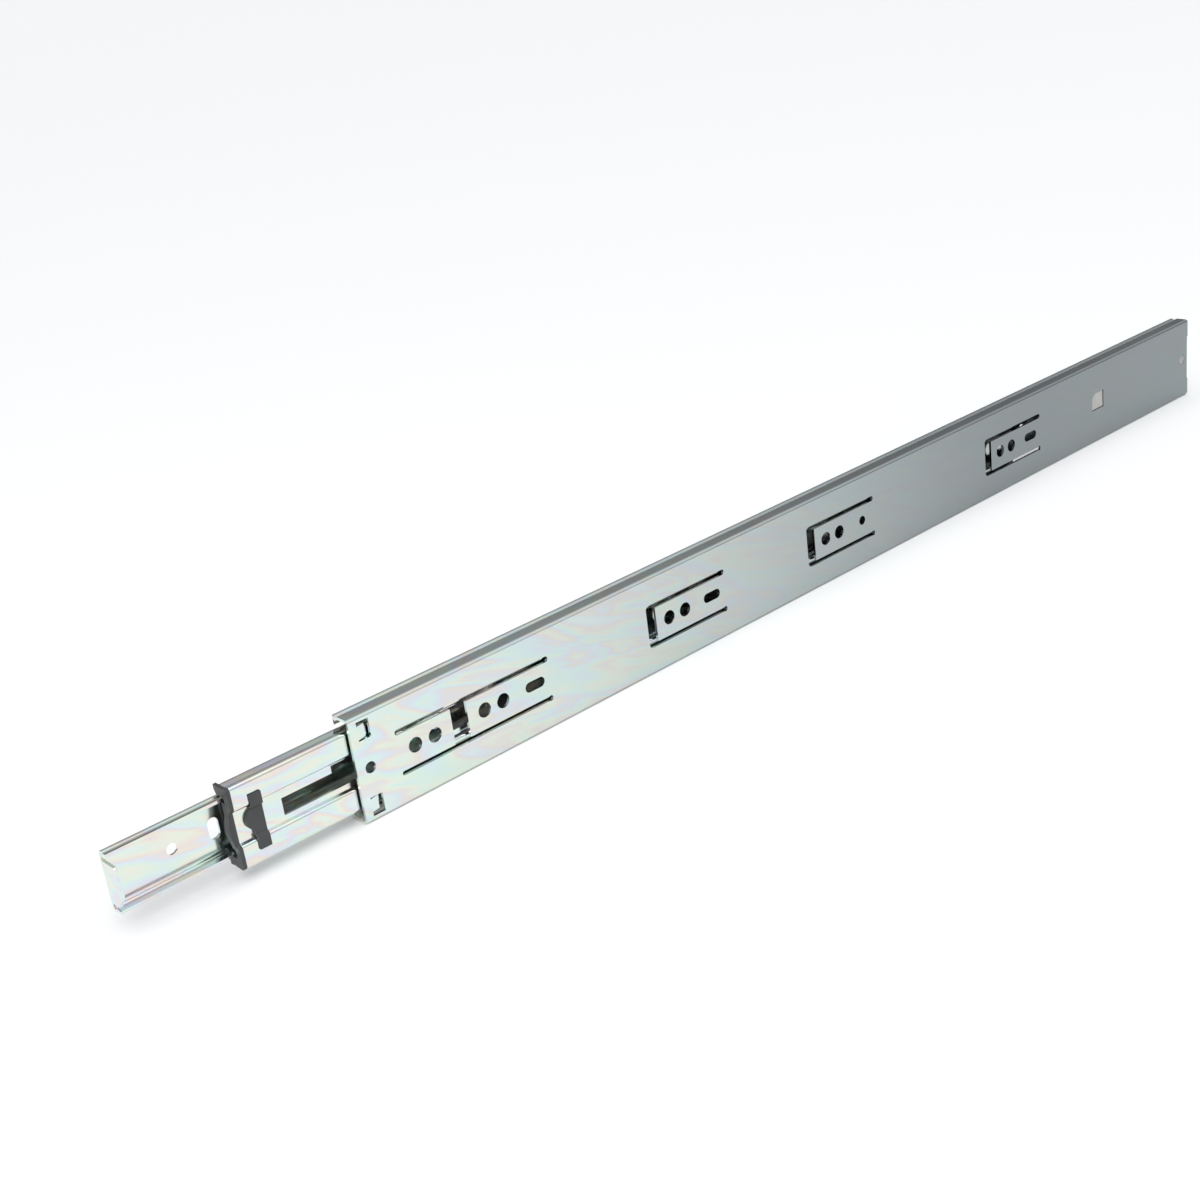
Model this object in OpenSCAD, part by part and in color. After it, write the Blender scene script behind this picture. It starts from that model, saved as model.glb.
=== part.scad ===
// Full-extension soft-close drawer slide: three nested steel members on ball cages.
// +X is the opening direction, +Y leaves the cabinet side, +Z is up.
// The origin is the front end of the cabinet member, on its mounting face, at mid-height.
// Everything is drawn partly open: the middle member 51.5 mm and the drawer member 100 mm out.

/* [Sizes] */
// Length of the cabinet member
slide_l = 600; // [450:50:700]
// Depth from cabinet face to drawer face
slide_d = 12.7; // [12.7:0.1:14]
// Sheet thickness of cabinet and drawer members
sheet_t = 1.2; // [1:0.1:1.5]
// Sheet thickness of the middle member
mid_t = 1.1; // [0.9:0.1:1.3]

/* [Opening] */
// How far the middle member stands out of the cabinet member
mid_out = 51.5; // [0:0.5:290]
// How far the drawer member stands out of the cabinet member
drawer_out = 100; // [0:1:600]

/* [Balls] */
// Outer ball radius
ball_o = 2.38; // [2:0.01:2.5]
// Inner ball radius
ball_i = 1.75; // [1.5:0.01:2]
// Gap between a ball and its race
race_gap = 0.1; // [0.05:0.01:0.2]
// Outer ball centre, depth from the cabinet face
ball_o_u = 6.2; // [5.5:0.1:7]
// Outer ball centre, height
ball_o_z = 18.72; // [18:0.02:20]
// Inner ball centre, depth from the cabinet face
ball_i_u = 9; // [8:0.1:9.4]
// Inner ball centre, height
ball_i_z = 13.8; // [12.5:0.1:14.2]
// Ball spacing in the outer cages
pitch_o = 16; // [12:1:24]
// Ball spacing in the inner cages
pitch_i = 13.6; // [10:0.2:16]

/* [Mounting tabs] */
// First round hole of each repeating tab, distance behind the front end
tab_x = [63.3, 168.8, 274.3, 414.4];
// Round hole spacing on a tab
tab_pitch = 9.8; // [8:0.2:12]
// Round hole diameter on a tab
tab_hole = 6.4; // [5:0.1:7]
// Oblong hole: distance from the first round hole
tab_slot_off = 27; // [24:0.5:30]
// Oblong hole length
tab_slot_l = 10.4; // [8:0.2:12]
// Oblong hole width
tab_slot_w = 4.4; // [4:0.1:5.5]

/* [Drawer member] */
// Round screw holes, distance behind the drawer member's front end
dr_hole_x = [26, 129, 234, 445, 550];
// Upright slots, distance behind the drawer member's front end
dr_slot_x = [43.4, 146.4, 251.4, 462.4];
// Screw hole diameter
dr_hole = 4.6; // [4:0.1:5.5]
// Upright slot height
dr_slot_h = 8.8; // [7:0.1:10]

/* [Soft close] */
// Travel of the catch carriage
catch_travel = 45; // [35:1:48]
// Damper body radius
damper_r = 2.8; // [2.4:0.1:2.8]
// Spring coil outer radius
spring_r = 2.1; // [1.6:0.1:2.4]

/* [Hidden] */
bend_step = 9;                 // degrees of bend per outline point

// Lengths and end positions along X
mid_l = 480;
drawer_l = 594.5;
mid_x0 = mid_out - mid_l;
drawer_x0 = drawer_out - drawer_l;
outer_up = [-453, -127];       // rear and front end of each cage
outer_lo = [-446, -120];
inner_up = [-360.5, -111];
inner_lo = [-348.7, -112.8];

// ---- Bend tables ----
// A section's centreline starts at mid-height heading up and is a list of rows
// [straight run, bend radius, bend angle]; a positive angle turns towards the cabinet.
// Sections are drawn with u = depth from the cabinet face and z = height.
function bend_end(p, h, row) =
    let(s = row[2] > 0 ? 1 : -1, q = p + row[0] * [cos(h), sin(h)])
    row[1] == 0 ? q
    : q + s * row[1] * [sin(h + row[2]) - sin(h), cos(h) - cos(h + row[2])];

function bend_row(p, h, row) =
    let(s = row[2] > 0 ? 1 : -1, q = p + row[0] * [cos(h), sin(h)],
        n = ceil(abs(row[2]) / bend_step))
    concat(row[0] > 0 ? [[p[0], p[1], h]] : [],
        row[1] == 0 ? [] : [for (k = [0:1:n - 1]) let(g = h + row[2] * k / n)
            [q[0] + s * row[1] * (sin(g) - sin(h)), q[1] + s * row[1] * (cos(h) - cos(g)), g]]);

function bend_run(rows, p, h, i = 0) =
    i == len(rows) ? [[p[0], p[1], h]]
    : concat(bend_row(p, h, rows[i]), bend_run(rows, bend_end(p, h, rows[i]), h + rows[i][2], i + 1));

// Outline of a section, thickened half a sheet each way and mirrored about mid-height.
function section_pts(rows, u0, t) =
    let(c = bend_run(rows, [u0, 0], 90), n = len(c),
        left = [for (k = [1:1:n - 1]) [c[k][0] - t / 2 * sin(c[k][2]), c[k][1] + t / 2 * cos(c[k][2])]],
        right = [for (k = [n - 1:-1:1]) [c[k][0] + t / 2 * sin(c[k][2]), c[k][1] - t / 2 * cos(c[k][2])]],
        half = concat(left, right), m = len(half))
    concat([for (q = half) [-q[0], q[1]]],
           [for (k = [m - 1:-1:0]) [-half[k][0], -half[k][1]]]);

// Sweep a (y, z) outline along X from x0 to x1.
module along_x(x0, x1) translate([x0, 0, 0]) rotate([90, 0, 90]) linear_extrude(x1 - x0) children();
// A box from x0 to x1, depth u0 to u1 and height z0 to z1.
module slab(x, u, z) translate([x[0], -u[1], z[0]]) cube([x[1] - x[0], u[1] - u[0], z[1] - z[0]]);
// A round hole or pin through depths u0 to u1.
module drill(x, z, d, u, fn = 48) translate([x, -u[0], z]) rotate([90, 0, 0]) cylinder(d = d, h = u[1] - u[0], $fn = fn);
// An oblong cutter along X.
module slot_x(x0, x1, z, w, u) {
    drill(x0 + w / 2, z, w, u);
    drill(x1 - w / 2, z, w, u);
    slab([x0 + w / 2, x1 - w / 2], u, [z - w / 2, z + w / 2]);
}
// An upright slot cutter.
module slot_z(x, z, w, h, u) {
    drill(x, z - (h - w) / 2, w, u);
    drill(x, z + (h - w) / 2, w, u);
    slab([x - w / 2, x + w / 2], u, [z - (h - w) / 2, z + (h - w) / 2]);
}

// Cabinet section: tight web corner, outer race, groove, second crown, lip.
race_cab = ball_o + race_gap + sheet_t / 2;
web_bend = 0.9;
groove_turn = 38;
lip_u = slide_d - 0.3 - sheet_t / 2;
groove_end = ball_o_u + (race_cab + 2) * sin(groove_turn);
crown_r = (lip_u - groove_end) / (1 + sin(groove_turn));
crown_z = ball_o_z + race_cab * cos(groove_turn) - crown_r * cos(groove_turn);
lip_end = 17.5;
cab_rows = [[ball_o_z + race_cab - web_bend, web_bend, -90],
            [ball_o_u - sheet_t / 2 - web_bend, race_cab, -groove_turn],
            [0, 1, 2 * groove_turn],
            [0, crown_r, -90 - groove_turn],
            [crown_z - lip_end, 0, 0]];

// Middle section: recessed centre band, shoulder, outer race, inner race.
band_u = 2.3 + mid_t / 2;
centre_u = band_u + 1.8;
step_r = 0.8;
race_val = ball_o + race_gap + mid_t / 2;
race_hill = ball_i + race_gap + mid_t / 2;
sh_r = 0.9;
sh = [band_u + sh_r, ball_o_z - sqrt(pow(race_val + sh_r, 2) - pow(ball_o_u - band_u - sh_r, 2))];
sh_a = atan2(ball_o_z - sh[1], ball_o_u - sh[0]);
rr = [ball_i_u - ball_o_u, ball_i_z - ball_o_z];
rr_d = norm(rr);
val_exit = atan2(rr[1], rr[0]) - acos((race_val + race_hill) / rr_d) + 90;
centre_z = 6.3;
step_run = (1.8 - step_r) / sin(60);
band_z = centre_z + 2 * step_r * sin(60) + step_run * cos(60);
mid_rows = [[centre_z, step_r, 60], [step_run, step_r, -60],
            [sh[1] - band_z, sh_r, -(180 - sh_a)],
            [0, race_val, val_exit - sh_a + 90],
            [sqrt(rr_d * rr_d - pow(race_val + race_hill, 2)), race_hill, -(68 + val_exit)]];

// Drawer section: web, corner, inner race, free edge.
race_dr = ball_i + race_gap + sheet_t / 2;
co_r = 1.2;
co = [slide_d - sheet_t / 2 - co_r,
      ball_i_z - sqrt(pow(race_dr + co_r, 2) - pow(slide_d - sheet_t / 2 - co_r - ball_i_u, 2))];
co_a = atan2(ball_i_z - co[1], ball_i_u - co[0]);
dr_rows = [[co[1], co_r, co_a], [0, race_dr, 80 - co_a], [1.6, 0, 0]];

// ---- Steel members ----
module round_tab_holes(x1, kind, u) {
    drill(x1, 0, tab_hole, u);
    drill(x1 - tab_pitch, 0, tab_hole, u);
    if (kind == "oblong") slot_x(x1 - tab_slot_off - tab_slot_l / 2, x1 - tab_slot_off + tab_slot_l / 2, 0, tab_slot_w, u);
    if (kind == "round") drill(x1 - tab_slot_off, 0, tab_slot_w, u);
}

// The cut that frees a tab: upper and lower slits joined across the free end.
slit_hi = [7.4, 9.9];
slit_lo = [-10.2, -8.3];
window_r = 2;                  // corner radius at a tab's free end
module tab_cut(x_front, x_rear, free, u, facing = false) {
    slab([x_rear + 1.25, x_front - window_r], u, slit_hi);
    drill(x_rear + 1.25, 8.65, 2.5, u);
    slab([x_rear + 1.1, x_front - window_r], u, slit_lo);
    drill(x_rear + 1.1, -9.25, 2.5, u);
    slab(free, u, [slit_lo[0], slit_hi[1] - (facing ? 0.6 : 0)]);
    if (facing) {
        drill(x_front - window_r, 8.65, 2.5, u);
        drill(x_front - window_r, -9.25, 1.9, u);
    } else {
        drill(x_front - window_r, slit_hi[1] - window_r, 2 * window_r, u);
        drill(x_front - window_r, slit_lo[0] + window_r, 2 * window_r, u);
        slab([free[0], x_front], u, [slit_lo[0] + window_r, slit_hi[1] - window_r]);
    }
}

// Window by the front end, and the stop lug pressed inwards from its front edge.
module front_window(s) slab([-9.3, -3.6], [-0.2, 2.6], s > 0 ? [12.2, 20.2] : [-20.2, -12.2]);
module front_lug(s) translate([-3.5, 0, s * 15.6]) rotate([0, 0, 13])
    translate([-4, -sheet_t, -2.8]) cube([4, sheet_t, 5.6]);

module cabinet_member() color([0.74, 0.76, 0.75]) {
    cabinet_rail();
    front_lug(1);
    front_lug(-1);
}

// The window over the damper housing, with its front upper corner rounded off, and the
// housing's locating pad that fills it.
pad_x = [-511.4, -500.2];
pad_z = [-3.9, 5.7];
pad_r = 4;
module pad_outline(gap) intersection() {
    translate([pad_x[0] + gap, -4, pad_z[0] + gap])
        cube([pad_x[1] - pad_x[0] - 2 * gap, 5.5, pad_z[1] - pad_z[0] - 2 * gap]);
    union() {
        drill(pad_x[1] - pad_r, pad_z[1] - pad_r, 2 * (pad_r - gap), [-2, 5]);
        slab([pad_x[0] - 1, pad_x[1] - pad_r], [-2, 5], [pad_z[0] - 1, pad_z[1] + 1]);
        slab([pad_x[0] - 1, pad_x[1] + 1], [-2, 5], [pad_z[0] - 1, pad_z[1] - pad_r]);
    }
}

module cabinet_rail() difference() {
    along_x(-slide_l, 0) polygon(section_pts(cab_rows, sheet_t / 2, sheet_t));
    // Rounded flange corners at the front end
    difference() {
        translate([-3.4, -slide_d - 1, -30]) cube([5, 5, 60]);
        translate([-3.4, -slide_d + 0.3 + 3.4, -31]) cylinder(r = 3.4, h = 62, $fn = 64);
    }
    // Set-back web edge at the rear end
    slab([-slide_l - 1, -slide_l + 0.7], [-1, 3], [-12.6, 12.6]);
    front_window(1);
    front_window(-1);
    drill(-6.4, 0, 4.8, [-1, 3]);
    // First cut-out: two tabs facing each other
    tab_cut(-18.9, -98.6, [-54.7, -46.6], [-1, 3], true);
    round_tab_holes(-28.1, "none", [-1, 3]);
    round_tab_holes(-tab_x[0], "oblong", [-1, 3]);
    // Repeating tabs, fixed at their rear end
    for (i = [1:3]) {
        x1 = -tab_x[i];
        tab_cut(x1 + 13.3, x1 - 35.8, [x1 + 7.9, x1 + 13.3 - window_r], [-1, 3]);
        round_tab_holes(x1, i == 2 ? "round" : "oblong", [-1, 3]);
    }
    // Latch window over the damper housing, and the stake hole
    pad_outline(0);
    drill(-594.1, 0, 5, [-1, 3]);
}

// Openings through the middle member's centre band
mid_win = [[-152, -84], [-250, -164], [-334, -262]];
module intermediate_member() color([0.76, 0.78, 0.77]) difference() {
    along_x(mid_x0, mid_out) polygon(section_pts(mid_rows, centre_u, mid_t));
    slab([-68, 31.2], [3, 6], [-4.3, 2.8]);
    slab([-68, 8.2], [3, 6], [-4.3, 5.9]);
    for (w = mid_win) slab(w, [3, 6], [-5.4, 5.4]);
    drill(-352, 0, 6, [3, 6]);
    drill(-400, 0, 4, [3, 6]);
    // Seat for the front guide's neck
    slab([40.3, 44.7], [3, 6], [-3.4, 3.4]);
}

module drawer_member() color([0.70, 0.73, 0.72]) {
    difference() {
        along_x(drawer_x0, drawer_out) polygon(section_pts(dr_rows, slide_d - sheet_t / 2, sheet_t));
        for (x = dr_hole_x) drill(drawer_out - x, 0, dr_hole, [11, 14]);
        for (x = dr_slot_x) slot_z(drawer_out - x, 0, dr_hole, dr_slot_h, [11, 14]);
        drill(rivet_x, 0, 4, [11, 14]);
        // Rear end: upper finger, notch and rounded lower lobe
        slab([drawer_x0 - 1, drawer_x0 + 9.5], [5, 14], [9.1, 14]);
        slab([drawer_x0 - 1, drawer_x0 + 9.5], [5, 11.4], [-14, 14]);
        slab([drawer_x0 - 1, drawer_x0 + 4], [5, 14], [-14, -4.8]);
        slab([drawer_x0 - 1, drawer_x0 + 9.5], [5, 14], [-14, -10]);
        translate([drawer_x0, 0, 0]) rotate([90, 0, 0]) translate([0, 0, 11]) linear_extrude(3) difference() {
            polygon([[-1, 3.8], [10.6, 3.6], [11.4, 2.6], [6.8, -0.4], [4, -4.9], [-1, -4.9]]);
        }
        difference() {
            slab([drawer_x0 + 3.9, drawer_x0 + 8], [11, 14], [-10.2, -6]);
            drill(drawer_x0 + 8, -6, 8, [10, 15]);
        }
        // Coined line beside the hook
        intersection() {
            difference() {
                drill(drawer_x0 + 10.6, -1.6, 16.8, [slide_d - 0.35, slide_d + 1], 64);
                drill(drawer_x0 + 10.6, -1.6, 15, [slide_d - 1, slide_d + 2], 64);
            }
            slab([drawer_x0 + 12, drawer_x0 + 20], [slide_d - 1, slide_d + 2], [-6.6, 4.6]);
        }
    }
    // Front stop, bent square towards the cabinet
    translate([drawer_out, 0, 0]) rotate([90, 0, -90]) linear_extrude(sheet_t)
        polygon([[11.6, 8.2], [3.2, 8.2], [2.6, 7.6], [2.6, -4], [6.6, -9.4], [11.6, -9.4]]);
}

// ---- Ball cages ----
// s is +1 for the upper race and -1 for the lower one.
function ball_count(e, pitch) = floor((e[1] - e[0] - 7) / pitch) + 1;
function ball_x(e, pitch, k) = (e[0] + e[1]) / 2 + (k - (ball_count(e, pitch) - 1) / 2) * pitch;

module balls(e, pitch, u, z, r) for (k = [0:ball_count(e, pitch) - 1])
    translate([ball_x(e, pitch, k), -u, z]) sphere(r = r, $fn = 48);

module outer_cage(e, s) color([0.62, 0.64, 0.63]) difference() {
    mirror([0, 0, s > 0 ? 0 : 1]) union() {
        slab(e, [3.1, 10.3], [ball_o_z - 0.45, ball_o_z + 0.45]);
        slab(e, [10.2, 10.9], [17.1, ball_o_z + 0.45]);
    }
    for (k = [0:ball_count(e, pitch_o) - 1]) translate([ball_x(e, pitch_o, k), -ball_o_u, s * ball_o_z - 2])
        cylinder(r = ball_o + 0.12, h = 4, $fn = 48);
    // Small locating hole at the rear end
    drill(e[0] + 6, s * 17.8, 0.6, [9, 12], 24);
}

module inner_cage(e, s) color([0.55, 0.57, 0.56]) difference() {
    mirror([0, 0, s > 0 ? 0 : 1]) union() {
        slab(e, [ball_i_u - 2, ball_i_u + 2.6], [ball_i_z - 0.4, ball_i_z + 0.4]);
        slab(e, [ball_i_u + 2, ball_i_u + 2.6], [ball_i_z - 0.75, ball_i_z + 0.4]);
    }
    n = ball_count(e, pitch_i);
    for (k = [0:n - 1]) translate([ball_x(e, pitch_i, k), -ball_i_u, s * ball_i_z - 2])
        cylinder(r = ball_i + 0.12, h = 4, $fn = 48);
    for (k = [0:n - 1]) slab([ball_x(e, pitch_i, k) - 3.2, ball_x(e, pitch_i, k) + 3.2], [ball_i_u + 1.9, 13],
        s > 0 ? [ball_i_z - 1.1, ball_i_z - 0.4] : [0.4 - ball_i_z, 1.1 - ball_i_z]);
}

// ---- Plastic parts on the middle and drawer members ----
module front_guide() color([0.13, 0.13, 0.13]) {
    // Nose plate across the open end, with race covers that run out to a tip
    along_x(mid_out + 0.1, mid_out + 1.5)
        polygon([for (q = [[2.5, 16.3], [3.4, 17], [8.6, 16.6], [11.5, 16.9], [11.6, 14.8], [10.7, 12.95], [6.1, 12.95],
            [5.5, 12.2], [5.5, 9.6], [6.2, 8.9], [7.4, 8.2], [7.6, 5.6], [8.6, 0],
            [8.6, -5.6], [7.4, -8.9], [6.2, -8.9], [5.5, -9.6], [5.5, -12.2], [6.1, -12.95], [10.7, -12.95], [11.6, -14.8],
            [11.5, -16.9], [8.6, -16.6], [3.4, -17], [2.5, -16.3], [2.5, -8.6], [4.2, -6.6], [4.2, 6.6], [2.5, 8.6]]) [-q[0], q[1]]]);
    // Prow that meets the front stop
    translate([mid_out + 1.4, -4.3, 0]) rotate([90, 0, 0]) linear_extrude(3.4)
        polygon([[0, 6.8], [1.5, -0.6], [1.5, -2.2], [0, -8.6]]);
    // Block inside the drawer member's channel
    slab([mid_out - 9.5, mid_out + 0.2], [5.3, 11], [-8.9, 8.9]);
    slab([40.2, 45], [5.3, 11], [-6, 6]);
    // Neck through the centre band and the clip on its wall side
    slab([40.6, 44.4], [3.4, 5.4], [-3.1, 3.1]);
    along_x(40, 45) polygon([for (q = [[1.5, 11.4], [2.15, 11.4], [2.15, 7.2], [3.95, 5.8], [3.95, -5.8], [2.15, -7.2],
        [2.15, -11.4], [1.5, -11.4], [1.5, -6.4], [2.7, -5.3], [2.7, 5.3], [1.5, 6.4]]) [-q[0], q[1]]]);
    intersection() {
        drill(43, 0.8, 9.4, [2.7, 3.95], 64);
        slab([44, 50], [2, 4.5], [-6, 6]);
    }
}

rivet_x = drawer_out - 379.6;
module release_lever() color([0.13, 0.13, 0.13]) difference() {
    union() {
        drill(rivet_x, 0, 11, [6.5, 11.3], 64);
        // Nose arm, forward, with its latch hook
        translate([rivet_x, -6.9, 0]) rotate([90, 0, 0]) linear_extrude(4.4)
            polygon([[0, -3.4], [34, -2.6], [44, -2.2], [48.5, 0.6], [48.5, 4.6], [43, 7.2], [39.5, 7.2], [38, 3], [30, 2.4], [0, 4]]);
        // Thumb arm, rearward
        translate([rivet_x, -6.9, 0]) rotate([90, 0, 0]) linear_extrude(4.4)
            polygon([[0, 4], [-24, 3], [-36, 6.6], [-44, 6.6], [-45, 5], [-45, 0.5], [-24, -2], [0, -3.6]]);
        // Leaf spring leg against the channel wall
        translate([rivet_x, -6.9, 0]) rotate([90, 0, 0]) linear_extrude(4.4)
            polygon([[2, -4.6], [4, -5.2], [16, -7.1], [30, -8.2], [32, -7.9], [31.6, -7.4], [16.4, -6.2], [5, -4.1]]);
    }
    drill(rivet_x, 0, 4.1, [6, 12]);
}

module lever_rivet() color([0.66, 0.67, 0.67]) {
    drill(rivet_x, 0, 4, [6.2, slide_d]);
    drill(rivet_x, 0, 7.2, [5.6, 6.4]);
}

// ---- Soft-close unit ----
hs = [-593, -487];             // housing ends
catch_x = [-541, -523];        // catch block when cocked
dz = -3.4;                     // damper axis height
sz = 4.6;                      // spring axis height
damper_u = 5.6;
spring_u = 5;
module damper_housing() color([0.42, 0.41, 0.39]) difference() {
    union() {
        // Floor against the web, channel walls and rib
        slab(hs, [1.25, 2.4], [-13.6, 13.6]);
        slab(hs, [1.25, 8.5], [7.8, 9]);
        slab(hs, [1.25, 8.5], [-9, -7.8]);
        slab([hs[0] + 1, catch_x[0] - catch_travel - 1], [1.25, 7.4], [0.7, 1.7]);
        slab([hs[0] + 1, hs[1]], [1.25, 3.1], [0.7, 1.7]);
        // Tongue under the stake
        slab([-597, hs[0] + 0.1], [1.25, 2.4], [-3.5, 3.5]);
        // Race plugs top and bottom
        for (s = [1, -1]) mirror([0, 0, s > 0 ? 0 : 1]) {
            slab([hs[0], -511], [1.25, 10.4], [13.5, 18.4]);
            slab([hs[0], -511], [1.25, 7.5], [18.3, 20.4]);
        }
        // Lid over the front end and the rear wall
        slab([-522.7, hs[1]], [8.5, 9.3], [-9, 9]);
        slab([hs[0] + 1, hs[0] + 4], [1.25, 8.5], [-8.5, 8.5]);
        slab([hs[1] - 2, hs[1]], [1.25, 9.3], [-9, 9]);
        // Spring post
        drill(hs[0] + 7, sz, 1.8, [2, 7.6], 32);
        // Locating pad in the cabinet member's window
        intersection() {
            pad_outline(0.25);
            slab(pad_x, [0.45, 1.8], pad_z);
        }
    }
    // Pockets in the upper race plug, floor slot, rod seat
    slab([-581, -575], [9.4, 11], [14.2, 16.6]);
    slab([-560, -552], [9.6, 11], [14.2, 16.2]);
    slab([-584, -566], [1, 3], [dz - 2.4, dz + 1.2]);
    drill(-594.1, 0, 2.6, [0, 3]);
    translate([hs[0] + 1.8, -damper_u, dz]) rotate([0, 90, 0]) cylinder(r = 0.95, h = 3, $fn = 32);
}

module housing_stake() color([0.42, 0.41, 0.39]) {
    difference() {
        drill(-594.1, 0, 4.9, [0.25, 1.25]);
        drill(-594.1, 0, 3.2, [0, 0.8]);
    }
    drill(-594.1, 0, 2.5, [0.9, 2.5], 32);
    drill(-594.1, 0, 3.6, [2.4, 3.1]);
}

module catch_carriage() color([0.47, 0.46, 0.44]) difference() {
    union() {
        slab(catch_x, [7.65, 9.9], [-7.3, 7.3]);
        // Damper saddle rings, spring hook and the bar that joins them
        slab([-541, -536.5], [2.6, 8], [-7.4, 0.4]);
        slab([-492.5, -489.5], [2.6, 8.3], [-7.4, 0.4]);
        slab([-492.5, -489.5], [2.6, 8.3], [2.1, 7.3]);
        slab([-524, -489.5], [7.65, 8.3], [-7.3, 7.3]);
    }
    translate([-545, -damper_u, dz]) rotate([0, 90, 0]) cylinder(r = damper_r + 0.05, h = 60, $fn = 64);
    // Pocket around the catch pin, and a small square socket
    slab([-530.8, -522], [8.5, 11], [-4.8, 5.2]);
    slab([-535.4, -530], [8.5, 11], [-3.2, 2]);
    slab([-540, -537.6], [8.6, 11], [-4.6, -1.6]);
}

module catch_pin() color([0.75, 0.73, 0.66]) difference() {
    drill(-533, -0.6, 4.4, [8.5, 11.3]);
    translate([-545, -damper_u, dz]) rotate([0, 90, 0]) cylinder(r = damper_r + 0.05, h = 60, $fn = 64);
}

module damper_body() color([0.60, 0.61, 0.61]) difference() {
    translate([-541, -damper_u, dz]) rotate([0, 90, 0]) cylinder(r = damper_r, h = 51.7, $fn = 64);
    translate([-539.6, -damper_u, dz]) rotate([0, 90, 0]) cylinder(r = damper_r - 0.5, h = 49.6, $fn = 64);
    translate([-545, -damper_u, dz]) rotate([0, 90, 0]) cylinder(r = 1, h = 10, $fn = 32);
}

module damper_rod() color([0.78, 0.79, 0.79]) {
    translate([hs[0] + 1.8, -damper_u, dz]) rotate([0, 90, 0]) cylinder(r = 0.9, h = 55, $fn = 32);
    translate([-539.2, -damper_u, dz]) rotate([0, 90, 0]) cylinder(r = damper_r - 0.6, h = 3, $fn = 64);
}

module pull_spring() color([0.70, 0.71, 0.71]) difference() {
    translate([hs[0] + 9, -spring_u, sz]) rotate([0, 90, 0]) cylinder(r = spring_r, h = 91, $fn = 48);
    translate([hs[0] + 8, -spring_u, sz]) rotate([0, 90, 0]) cylinder(r = spring_r - 0.55, h = 93, $fn = 48);
}

cabinet_member();
intermediate_member();
drawer_member();
outer_cage(outer_up, 1);  // outer_cage_upper
outer_cage(outer_lo, -1);  // outer_cage_lower
inner_cage(inner_up, 1);  // inner_cage_upper
inner_cage(inner_lo, -1);  // inner_cage_lower
balls(outer_up, pitch_o, ball_o_u, ball_o_z, ball_o);  // outer_balls_upper
balls(outer_lo, pitch_o, ball_o_u, -ball_o_z, ball_o);  // outer_balls_lower
balls(inner_up, pitch_i, ball_i_u, ball_i_z, ball_i);  // inner_balls_upper
balls(inner_lo, pitch_i, ball_i_u, -ball_i_z, ball_i);  // inner_balls_lower
front_guide();
release_lever();
lever_rivet();
damper_housing();
housing_stake();
catch_carriage();
catch_pin();
damper_body();
damper_rod();
pull_spring();
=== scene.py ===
"""Looks of the drawer slide: finishes, the catch spring's coil, floor, light and camera.

Everything is in metres in the row frame: +X opens, +Y leaves the cabinet side, +Z is up.
"""

import math

import bpy
from mathutils import Matrix, Vector


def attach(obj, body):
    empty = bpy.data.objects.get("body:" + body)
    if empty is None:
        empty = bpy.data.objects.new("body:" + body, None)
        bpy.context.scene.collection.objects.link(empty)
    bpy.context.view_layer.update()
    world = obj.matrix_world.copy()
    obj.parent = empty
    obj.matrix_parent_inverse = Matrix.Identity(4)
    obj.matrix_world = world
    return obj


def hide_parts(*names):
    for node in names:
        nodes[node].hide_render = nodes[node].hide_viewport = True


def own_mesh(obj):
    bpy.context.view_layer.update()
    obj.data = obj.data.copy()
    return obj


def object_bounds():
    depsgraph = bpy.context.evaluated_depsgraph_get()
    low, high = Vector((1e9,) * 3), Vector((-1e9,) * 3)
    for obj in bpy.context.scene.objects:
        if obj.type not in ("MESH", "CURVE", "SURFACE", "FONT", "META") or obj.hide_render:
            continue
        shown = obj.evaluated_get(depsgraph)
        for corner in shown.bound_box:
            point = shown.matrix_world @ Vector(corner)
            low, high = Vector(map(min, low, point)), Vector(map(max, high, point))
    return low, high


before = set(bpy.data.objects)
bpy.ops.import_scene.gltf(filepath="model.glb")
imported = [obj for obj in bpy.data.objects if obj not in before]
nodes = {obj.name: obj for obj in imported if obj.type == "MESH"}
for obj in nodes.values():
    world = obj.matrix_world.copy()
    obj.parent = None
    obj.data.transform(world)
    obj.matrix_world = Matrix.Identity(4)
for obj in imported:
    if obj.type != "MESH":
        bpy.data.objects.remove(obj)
cad_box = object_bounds()

# ---- Camera, at the photograph's angle ----
CAMERA_AT = Vector((0.3008, 0.5153, 0.3022))
LOOK = Vector((-0.5929, -0.7078, -0.3840)).normalized()
CAMERA_UP = Vector((-0.3472, -0.2055, 0.9150))
LENS_MM = 52.04
SENSOR_MM = 36.0

camera_data = bpy.data.cameras.new("camera")
camera_data.sensor_width = SENSOR_MM
camera_data.lens = LENS_MM
camera_data.clip_start, camera_data.clip_end = 0.02, 30.0
camera = bpy.data.objects.new("camera", camera_data)
bpy.context.scene.collection.objects.link(camera)
right = LOOK.cross(CAMERA_UP).normalized()
up = right.cross(LOOK).normalized()
camera.matrix_world = (
    Matrix.Translation(CAMERA_AT) @ Matrix((right, up, -LOOK)).transposed().to_4x4()
)
bpy.context.scene.camera = camera


# ---- Finishes ----
def new_material(name):
    material = bpy.data.materials.new(name)
    material.use_nodes = True
    tree = material.node_tree
    shader = next(n for n in tree.nodes if n.type == "BSDF_PRINCIPLED")
    return material, tree, shader


def add(tree, kind, **values):
    """A new node, with its plain settings and input values filled in."""
    node = tree.nodes.new(kind)
    for key, value in values.items():
        if key in node.inputs:
            node.inputs[key].default_value = value
        else:
            setattr(node, key, value)
    return node


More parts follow.
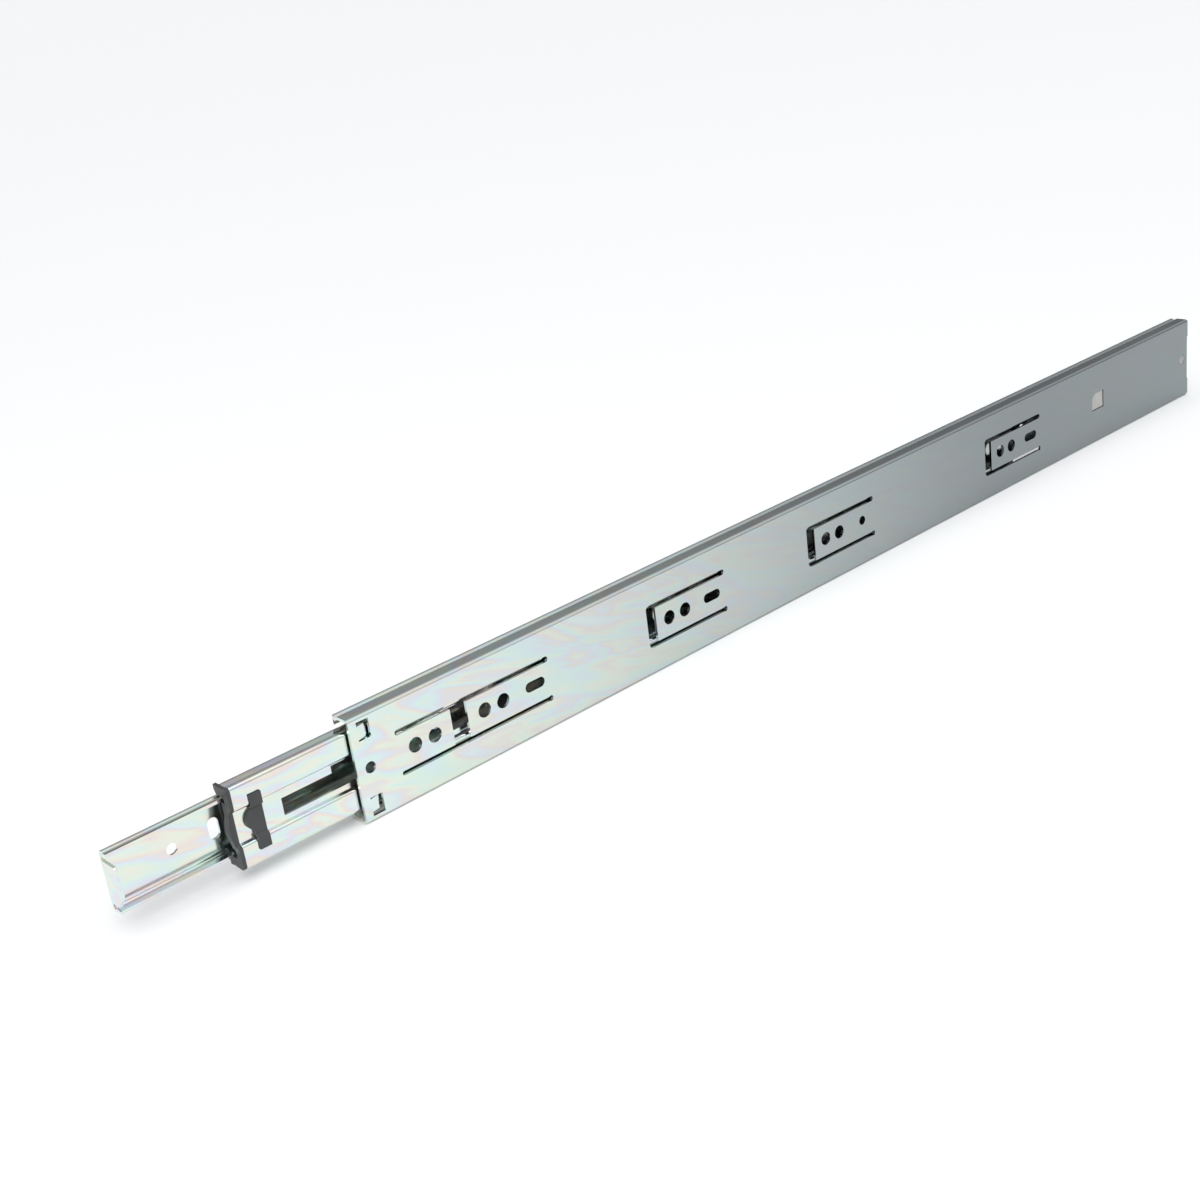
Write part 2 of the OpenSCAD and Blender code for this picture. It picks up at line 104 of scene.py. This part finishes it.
def stretched_position(tree, scale, turn=0.0):
    """The position on the part, in metres, turned about Y and scaled along each axis."""
    where = add(tree, "ShaderNodeTexCoord").outputs["Object"]
    if turn:
        turned = add(tree, "ShaderNodeMapping")
        turned.inputs["Rotation"].default_value = (0, math.radians(turn), 0)
        tree.links.new(where, turned.inputs["Vector"])
        where = turned.outputs["Vector"]
    mapping = add(tree, "ShaderNodeMapping")
    mapping.inputs["Scale"].default_value = scale
    tree.links.new(where, mapping.inputs["Vector"])
    return mapping.outputs["Vector"]


def noise(tree, scale, stretch=(1, 1, 1), detail=3.0, distortion=0.0, turn=0.0):
    node = add(
        tree,
        "ShaderNodeTexNoise",
        Scale=scale,
        Detail=detail,
        Distortion=distortion,
    )
    tree.links.new(stretched_position(tree, stretch, turn), node.inputs["Vector"])
    return node.outputs["Fac"]


def remap(tree, value, low, high, out_low, out_high):
    node = add(tree, "ShaderNodeMapRange", interpolation_type="SMOOTHSTEP")
    for key, number in zip(
        ("From Min", "From Max", "To Min", "To Max"), (low, high, out_low, out_high)
    ):
        node.inputs[key].default_value = number
    tree.links.new(value, node.inputs["Value"])
    return node.outputs["Result"]


def ramp(tree, value, stops):
    node = add(tree, "ShaderNodeValToRGB")
    elements = node.color_ramp.elements
    while len(elements) < len(stops):
        elements.new(0.5)
    for element, (place, colour) in zip(elements, stops):
        element.position = place
        element.color = (*colour, 1.0)
    tree.links.new(value, node.inputs["Fac"])
    return node.outputs["Color"]


def mix(tree, factor, a, b, mode="MIX"):
    node = add(tree, "ShaderNodeMix", data_type="RGBA", blend_type=mode)
    for socket, value in ((node.inputs[0], factor), (node.inputs[6], a), (node.inputs[7], b)):
        if isinstance(value, (int, float)):
            socket.default_value = value
        elif isinstance(value, tuple):
            socket.default_value = (*value, 1.0)
        else:
            tree.links.new(value, socket)
    return node.outputs[2]


def multiply(tree, a, b):
    node = add(tree, "ShaderNodeMath", operation="MULTIPLY")
    tree.links.new(a, node.inputs[0])
    if isinstance(b, (int, float)):
        node.inputs[1].default_value = b
    else:
        tree.links.new(b, node.inputs[1])
    return node.outputs["Value"]


def bump(tree, shader, height, strength, distance):
    node = add(tree, "ShaderNodeBump", Strength=strength, Distance=distance)
    tree.links.new(height, node.inputs["Height"])
    tree.links.new(node.outputs["Normal"], shader.inputs["Normal"])


# Pearly colours of the clear passivation, in the order the film thickens
FILM = [
    (0.00, (0.88, 0.98, 1.00)),
    (0.34, (0.90, 1.00, 0.95)),
    (0.39, (1.00, 0.97, 0.84)),
    (0.43, (1.00, 0.86, 0.80)),
    (0.465, (0.90, 0.88, 1.00)),
    (0.50, (0.84, 0.98, 1.00)),
    (0.54, (0.88, 1.00, 0.90)),
    (0.58, (1.00, 0.98, 0.85)),
    (0.62, (1.00, 0.86, 0.83)),
    (0.66, (0.90, 0.92, 1.00)),
    (0.72, (0.92, 1.00, 0.97)),
    (1.00, (0.95, 0.98, 1.00)),
]


# The blotches of that film: long streaks that lie a little off the part's length
BLOTCHES = {
    "scale": 34.0,
    "stretch": (0.36, 1.0, 1.9),
    "detail": 2.5,
    "distortion": 1.3,
    "turn": 14.0,
}
# Painted shade: the share of the lit front colour and of the pearly film that is left at the
# rear.
PAINTED_LIGHT_LEFT_AT_REAR = 0.12


def zinc(name, base, shaded_rear_base, film_amount, front, rear, roughness):
    """Zinc plated sheet with painted shade: from x = front to x = rear its colour darkens to
    the painted-shade rear colour and its pearly film fades, standing in for the dimmer
    reflections at the rear.
    """
    material, tree, shader = new_material(name)
    shader.inputs["Metallic"].default_value = 1.0
    film = ramp(tree, noise(tree, **BLOTCHES), FILM)
    split = add(tree, "ShaderNodeSeparateXYZ")
    tree.links.new(add(tree, "ShaderNodeTexCoord").outputs["Object"], split.inputs[0])
    # Painted shade: the base colour and the film darken from the front towards the rear along
    # X.
    painted_lit_amount = remap(tree, split.outputs["X"], rear, front, PAINTED_LIGHT_LEFT_AT_REAR, 1.0)
    painted_shade_tone = mix(tree, painted_lit_amount, shaded_rear_base, base)
    filmed = mix(tree, 1.0, painted_shade_tone, film, "MULTIPLY")
    colour = mix(tree, multiply(tree, painted_lit_amount, film_amount), painted_shade_tone, filmed)
    grain = noise(tree, 900.0, (0.05, 1.0, 1.0), 4.0)
    shade = ramp(tree, grain, [(0.3, (0.975, 0.975, 0.975)), (0.7, (1.0, 1.0, 1.0))])
    tree.links.new(mix(tree, 1.0, colour, shade, "MULTIPLY"), shader.inputs["Base Color"])
    cloud = noise(tree, 60.0, (0.5, 1.0, 1.0), 3.0)
    gloss = remap(tree, cloud, 0.3, 0.7, roughness - 0.03, roughness + 0.04)
    tree.links.new(gloss, shader.inputs["Roughness"])
    bump(tree, shader, grain, 0.012, 0.00003)
    return material


def plain_metal(name, base, roughness):
    material, tree, shader = new_material(name)
    shader.inputs["Metallic"].default_value = 1.0
    shader.inputs["Base Color"].default_value = (*base, 1.0)
    cloud = noise(tree, 300.0, (0.2, 1.0, 1.0), 3.0)
    gloss = remap(tree, cloud, 0.3, 0.7, roughness - 0.05, roughness + 0.06)
    tree.links.new(gloss, shader.inputs["Roughness"])
    return material


def plastic(name, base, roughness, grain_strength=0.12):
    material, tree, shader = new_material(name)
    cloud = noise(tree, 120.0, (1, 1, 1), 3.0)
    shade = ramp(tree, cloud, [(0.3, (0.9, 0.9, 0.9)), (0.7, (1.06, 1.06, 1.06))])
    tree.links.new(mix(tree, 1.0, base, shade, "MULTIPLY"), shader.inputs["Base Color"])
    shader.inputs["Roughness"].default_value = roughness
    shader.inputs["Specular IOR Level"].default_value = 0.45
    bump(tree, shader, noise(tree, 6000.0, (1, 1, 1), 2.0), grain_strength, 0.00002)
    return material


# The front colours are the zinc's own. The rear colours are painted shade, and the zinc
# darkens towards them at the rear.
CABINET_FRONT, CABINET_REAR_PAINTED_SHADE = (0.75, 0.80, 0.79), (0.20, 0.225, 0.235)
RAILS_FRONT, RAILS_REAR_PAINTED_SHADE = (0.78, 0.80, 0.79), (0.44, 0.46, 0.46)
finishes = {
    "zinc_cabinet": zinc("zinc_cabinet", CABINET_FRONT, CABINET_REAR_PAINTED_SHADE, 0.85, 0.03, -0.45, 0.17),
    "zinc_rails": zinc("zinc_rails", RAILS_FRONT, RAILS_REAR_PAINTED_SHADE, 0.9, 0.02, -0.40, 0.15),
    "cage_steel": plain_metal("cage_steel", (0.40, 0.41, 0.41), 0.36),
    "ball_steel": plain_metal("ball_steel", (0.72, 0.73, 0.74), 0.12),
    "bright_steel": plain_metal("bright_steel", (0.58, 0.59, 0.59), 0.25),
    "damper_alloy": plain_metal("damper_alloy", (0.48, 0.49, 0.50), 0.33),
    "black_plastic": plastic("black_plastic", (0.042, 0.043, 0.044), 0.42),
    "grey_plastic": plastic("grey_plastic", (0.43, 0.425, 0.41), 0.5),
    "catch_plastic": plastic("catch_plastic", (0.50, 0.495, 0.475), 0.48),
    "pin_plastic": plastic("pin_plastic", (0.62, 0.58, 0.47), 0.4),
}
finish_of = {
    "cabinet_member": "zinc_cabinet",
    "intermediate_member": "zinc_rails",
    "drawer_member": "zinc_rails",
    "outer_cage_upper": "cage_steel",
    "outer_cage_lower": "cage_steel",
    "inner_cage_upper": "cage_steel",
    "inner_cage_lower": "cage_steel",
    "outer_balls_upper": "ball_steel",
    "outer_balls_lower": "ball_steel",
    "inner_balls_upper": "ball_steel",
    "inner_balls_lower": "ball_steel",
    "front_guide": "black_plastic",
    "release_lever": "black_plastic",
    "lever_rivet": "bright_steel",
    "damper_housing": "grey_plastic",
    "housing_stake": "grey_plastic",
    "catch_carriage": "catch_plastic",
    "catch_pin": "pin_plastic",
    "damper_body": "damper_alloy",
    "damper_rod": "bright_steel",
}
# Width of each part's rounded edges, in metres
EDGE = {
    "cabinet_member": 0.00022,
    "intermediate_member": 0.00020,
    "drawer_member": 0.00022,
    "outer_cage_upper": 0.00012,
    "outer_cage_lower": 0.00012,
    "inner_cage_upper": 0.00010,
    "inner_cage_lower": 0.00010,
    "front_guide": 0.00025,
    "release_lever": 0.00035,
    "lever_rivet": 0.00025,
    "damper_housing": 0.00020,
    "housing_stake": 0.00015,
    "catch_carriage": 0.00025,
    "catch_pin": 0.00030,
    "damper_body": 0.00025,
    "damper_rod": 0.00015,
}
ROUND_FROM_DEG = 38
SEAM_GAP = 0.000002
for name, finish in finish_of.items():
    obj = nodes[name]
    for material_slot in obj.material_slots:
        material_slot.material = finishes[finish]
    if name in EDGE:
        weld = obj.modifiers.new("join_seams", "WELD")
        weld.merge_threshold = SEAM_GAP
        edge = obj.modifiers.new("round_edges", "BEVEL")
        edge.width = EDGE[name]
        edge.segments = 2
        edge.limit_method = "ANGLE"
        edge.angle_limit = math.radians(ROUND_FROM_DEG)
        edge.use_clamp_overlap = True
        soften = obj.modifiers.new("even_normals", "WEIGHTED_NORMAL")
        soften.weight = 100
        soften.keep_sharp = False

# ---- The catch spring's coil ----
SPRING_AXIS = (-0.005, 0.0046)  # y and z
SPRING_FROM, SPRING_TO = -0.5836, -0.4934
SPRING_POST_X = -0.586
WIRE_R = 0.00026
COIL_R = 0.0021 - WIRE_R
TURNS = 58
PER_TURN = 20
HOOK_R = 0.0014
HOOK_FROM_DEG, HOOK_STEP_DEG, HOOK_STEPS = 300, 25, 12
END_LEAD = 0.0006
END_GROW = 0.3


def coil_points():
    """The wire's centreline: a loop round the post, the coil, and a loop at the carriage."""
    y0, z0 = SPRING_AXIS
    points = []
    for k in range(HOOK_STEPS + 1):
        a = math.radians(HOOK_FROM_DEG - HOOK_STEP_DEG * k)
        points.append(
            Vector((SPRING_POST_X + HOOK_R * math.cos(a), y0, z0 + HOOK_R * math.sin(a)))
        )
    count = TURNS * PER_TURN
    for k in range(count + 1):
        a = 2 * math.pi * k / PER_TURN
        grow = min(1.0, END_GROW + k / PER_TURN, END_GROW + (count - k) / PER_TURN)
        x = SPRING_FROM + (SPRING_TO - SPRING_FROM) * k / count
        points.append(
            Vector((x, y0 + COIL_R * grow * math.sin(a), z0 + COIL_R * grow * math.cos(a)))
        )
    points.append(Vector((SPRING_TO + END_LEAD, y0, z0)))
    return points


def tube(name, points, radius, sides):
    """A closed round tube along a line of points."""
    verts, faces = [], []
    side = Vector((0, 1, 0))
    count = len(points)
    for i, p in enumerate(points):
        along = (points[min(i + 1, count - 1)] - points[max(i - 1, 0)]).normalized()
        side = (side - along * side.dot(along)).normalized()
        third = along.cross(side)
        for k in range(sides):
            a = 2 * math.pi * k / sides
            verts.append(p + (side * math.cos(a) + third * math.sin(a)) * radius)
    for i in range(count - 1):
        for k in range(sides):
            a, b = i * sides + k, i * sides + (k + 1) % sides
            faces.append((a, b, b + sides, a + sides))
    faces.append(tuple(reversed(range(sides))))
    faces.append(tuple(range((count - 1) * sides, count * sides)))
    mesh = bpy.data.meshes.new(name)
    mesh.from_pydata([tuple(v) for v in verts], [], faces)
    mesh.polygons.foreach_set("use_smooth", [True] * len(faces))
    mesh.materials.append(finishes["bright_steel"])
    obj = bpy.data.objects.new(name, mesh)
    bpy.context.scene.collection.objects.link(obj)
    return obj


coil = tube("spring_coil", coil_points(), WIRE_R, 8)
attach(coil, "cabinet")
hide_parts("pull_spring")
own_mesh(coil)

# ---- Floor ----
FLOOR_SIZE = 60.0
FLOOR_Z = cad_box[0].z - 0.0002
bpy.ops.mesh.primitive_plane_add(size=FLOOR_SIZE, location=(-0.2, 0, FLOOR_Z))
floor = bpy.context.object
floor.name = "floor"
floor_material, floor_tree, floor_shader = new_material("floor_paper")
floor_shader.inputs["Base Color"].default_value = (0.93, 0.93, 0.93, 1.0)
floor_shader.inputs["Roughness"].default_value = 0.9
floor_shader.inputs["Specular IOR Level"].default_value = 0.1
floor.data.materials.append(floor_material)


# ---- Light ----
def soft_light(name, at, target, size, watts):
    data = bpy.data.lights.new(name, "AREA")
    data.shape = "RECTANGLE"
    data.size, data.size_y = size
    data.energy = watts
    light = bpy.data.objects.new(name, data)
    light.location = at
    aim = Vector(target) - Vector(at)
    light.rotation_mode = "QUATERNION"
    light.rotation_quaternion = aim.to_track_quat("-Z", "Y")
    bpy.context.scene.collection.objects.link(light)
    return light


SUN_STRENGTH, SUN_SPREAD_DEG = 0.9, 70
SUN_TILT_DEG = (-14, 10, 0)
SKY_COLOUR = (0.97, 0.985, 1.0, 1.0)
SKY_OVERHEAD, SKY_SWEEP = 0.95, 0.97

sun_data = bpy.data.lights.new("even_light", "SUN")
sun_data.energy = SUN_STRENGTH
sun_data.angle = math.radians(SUN_SPREAD_DEG)
sun = bpy.data.objects.new("even_light", sun_data)
sun.rotation_euler = tuple(math.radians(a) for a in SUN_TILT_DEG)
bpy.context.scene.collection.objects.link(sun)
soft_light("key_light", (0.7, 0.9, 1.0), (0.0, 0, 0), (0.9, 0.9), 6)

# A softbox sky: bright overhead, grey lower down, darkest behind the slide, and a white
# sweep along the horizon
world = bpy.data.worlds.new("studio")
world.use_nodes = True
sky = world.node_tree
background = next(n for n in sky.nodes if n.type == "BACKGROUND")
background.inputs["Color"].default_value = SKY_COLOUR
direction = add(sky, "ShaderNodeSeparateXYZ")
sky.links.new(add(sky, "ShaderNodeTexCoord").outputs["Generated"], direction.inputs[0])
horizon = remap(sky, direction.outputs["X"], -0.9, 0.3, 0.16, 0.45)
height = remap(sky, direction.outputs["Z"], 0.02, 0.6, 0.0, 1.0)
level = add(sky, "ShaderNodeMix", data_type="FLOAT")
sky.links.new(height, level.inputs[0])
sky.links.new(horizon, level.inputs[2])
level.inputs[3].default_value = SKY_OVERHEAD
behind = remap(sky, direction.outputs["Y"], -0.85, 0.1, 0.42, 1.0)
sweep = add(sky, "ShaderNodeMix", data_type="FLOAT")
sky.links.new(remap(sky, direction.outputs["Z"], 0.05, 0.16, 1.0, 0.0), sweep.inputs[0])
sky.links.new(multiply(sky, level.outputs[0], behind), sweep.inputs[2])
sweep.inputs[3].default_value = SKY_SWEEP
sky.links.new(sweep.outputs[0], background.inputs["Strength"])
bpy.context.scene.world = world
bpy.context.scene.view_settings.view_transform = "Standard"
